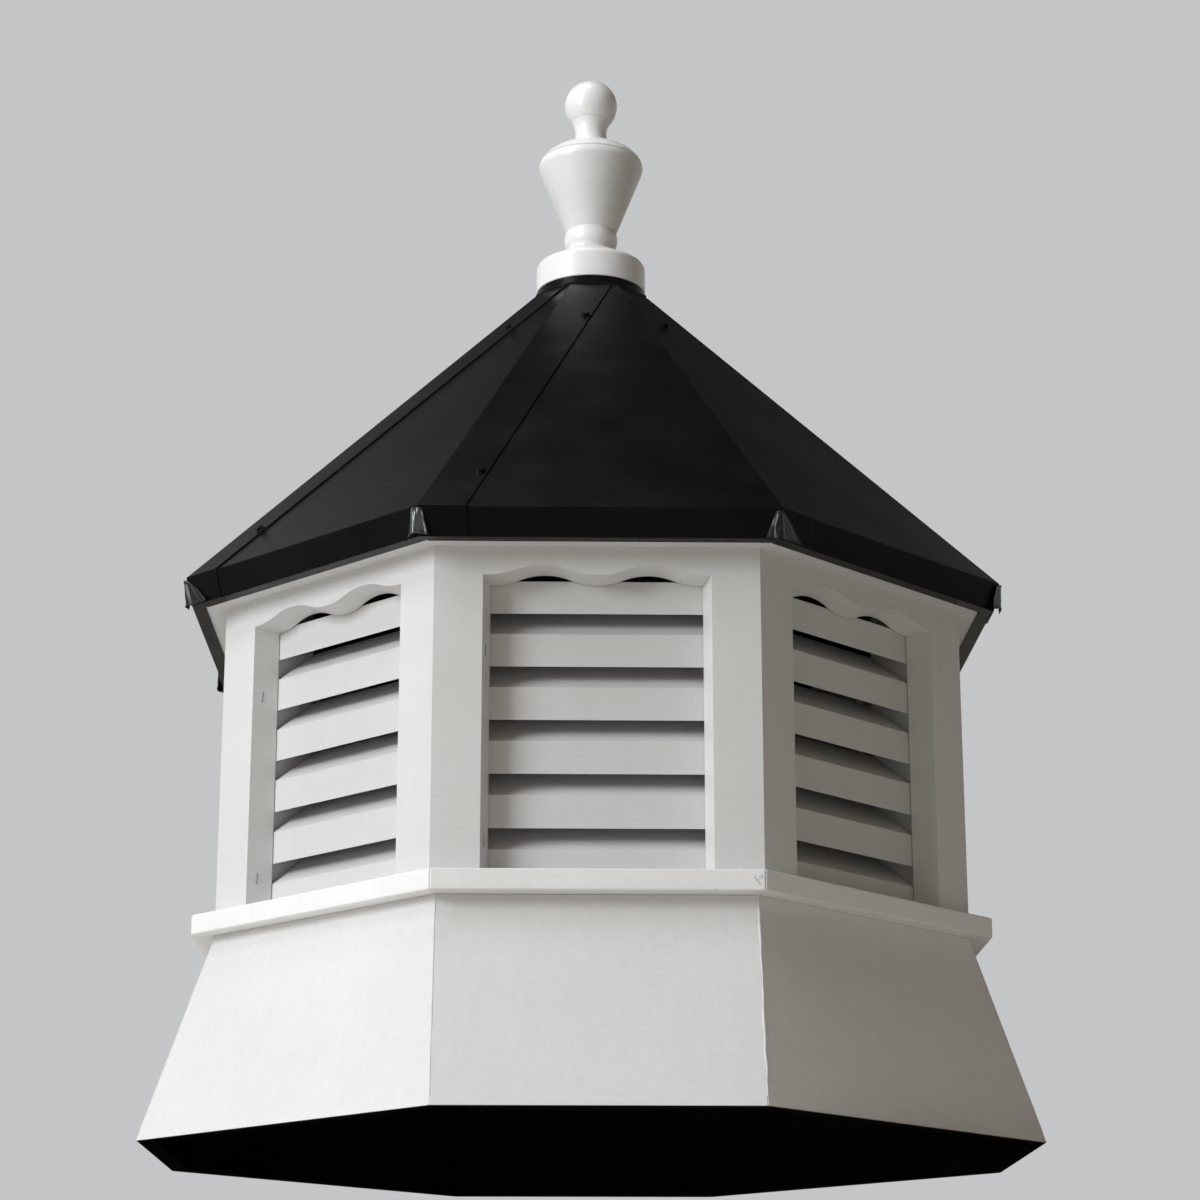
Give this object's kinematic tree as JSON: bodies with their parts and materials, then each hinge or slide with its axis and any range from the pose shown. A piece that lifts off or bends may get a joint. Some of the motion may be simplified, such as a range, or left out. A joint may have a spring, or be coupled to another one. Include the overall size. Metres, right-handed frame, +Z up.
{
  "type": "garage roof cupola",
  "caption": "Octagonal louvred vent cupola with a flared base, scalloped openings, a pyramid sheet roof and a turned urn-and-ball finial.",
  "frame": {"origin": "centre of the level bottom edge of the flared base", "axes": "+Z up along the finial, -Y out of the front face, +X to the right seen from the front"},
  "size_m": [0.904, 0.904, 1.2294],
  "materials": {
    "white_board": "satin",
    "black_sheet": "satin",
    "white_gloss": "gloss"
  },
  "bodies": {
    "root": {"wall_front": "white_board", "louvre_front": "white_board", "sill_front": "white_board", "base_front": "white_board", "roof_front": "black_sheet", "wall_front_right": "white_board", "louvre_front_right": "white_board", "sill_front_right": "white_board", "base_front_right": "white_board", "roof_front_right": "black_sheet", "wall_right": "white_board", "louvre_right": "white_board", "sill_right": "white_board", "base_right": "white_board", "roof_right": "black_sheet", "wall_back_right": "white_board", "louvre_back_right": "white_board", "sill_back_right": "white_board", "base_back_right": "white_board", "roof_back_right": "black_sheet", "wall_back": "white_board", "louvre_back": "white_board", "sill_back": "white_board", "base_back": "white_board", "roof_back": "black_sheet", "wall_back_left": "white_board", "louvre_back_left": "white_board", "sill_back_left": "white_board", "base_back_left": "white_board", "roof_back_left": "black_sheet", "wall_left": "white_board", "louvre_left": "white_board", "sill_left": "white_board", "base_left": "white_board", "roof_left": "black_sheet", "wall_front_left": "white_board", "louvre_front_left": "white_board", "sill_front_left": "white_board", "base_front_left": "white_board", "roof_front_left": "black_sheet", "soffit_ring": "white_board", "corner_clips": "black_sheet", "roof_cap": "black_sheet", "finial_plinth": "white_gloss", "finial_urn": "white_gloss"}
  },
  "joints": []
}
